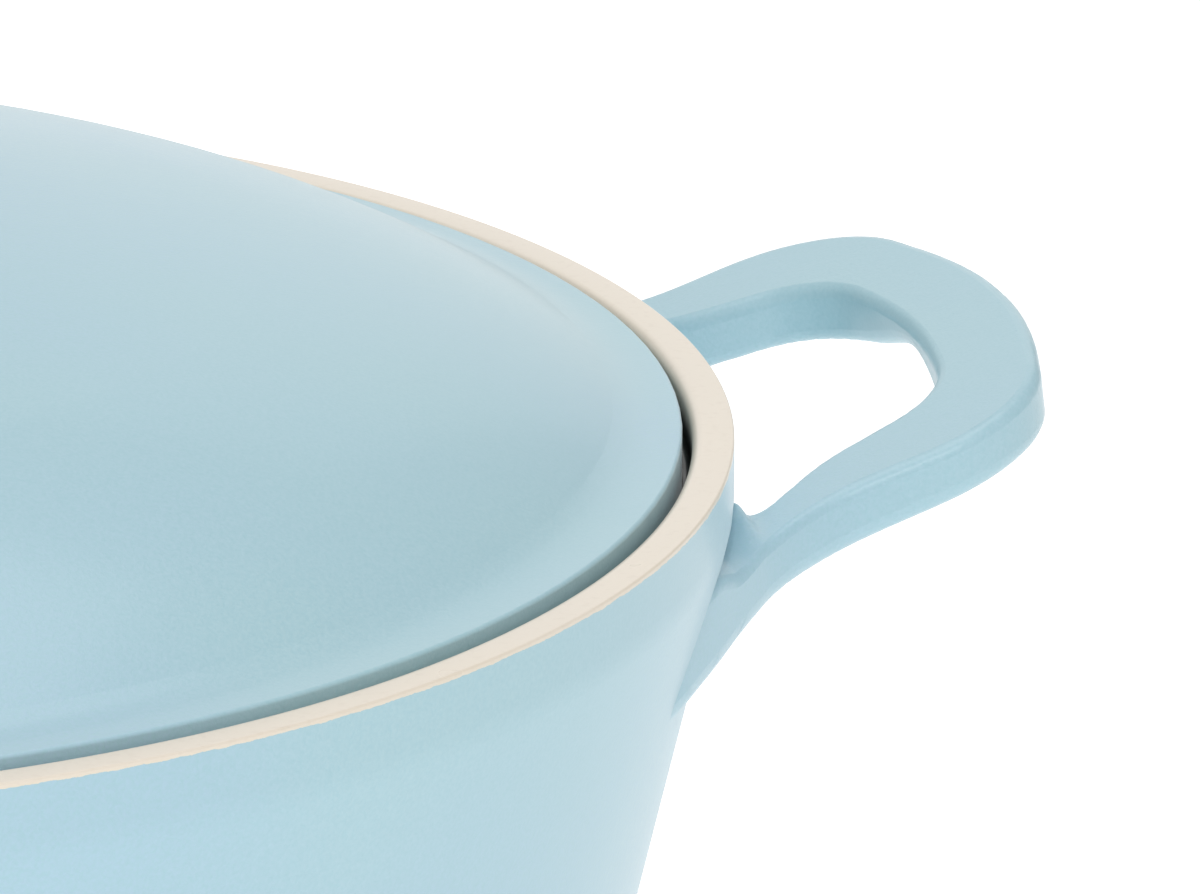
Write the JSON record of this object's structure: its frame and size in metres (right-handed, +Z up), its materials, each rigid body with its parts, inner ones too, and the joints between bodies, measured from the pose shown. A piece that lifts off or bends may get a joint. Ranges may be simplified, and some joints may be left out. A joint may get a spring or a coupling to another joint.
{
  "type": "dutch oven",
  "caption": "Round enamelled cast cooking pot with a tapered side, two loop handles cast with it, and a domed knobbed lid that sits down inside the rim.",
  "frame": {"origin": "centre of the foot, on the surface that the pot stands on", "axes": "+Z up along the pot's axis; +X and -X through the two loop handles"},
  "size_m": [0.3398, 0.26, 0.1784],
  "materials": {
    "pot_coat": "satin light-blue enamel over the casting",
    "lid_coat": "satin light-blue enamel over the casting",
    "lining": "smooth cream enamel",
    "knob": "satin moulded phenolic",
    "insert": "machined",
    "steel": "turned stainless steel",
    "gasket": "matt silicone"
  },
  "bodies": {
    "pot": {"pot_body": "pot_coat", "pot_lining": "lining"},
    "lid": {"lid_shell": "lid_coat", "lid_lining": "lining", "knob": "knob", "knob_insert": "insert", "knob_collar": "steel", "knob_gasket": "gasket", "knob_washer": "steel", "knob_lock_washer": "steel", "knob_screw": "steel"}
  },
  "joints": [
    {"name": "lid_lift", "type": "slide", "parent": "pot", "child": "lid", "axis": [0, 0, 1], "range_m": [0, 0.08]}
  ]
}
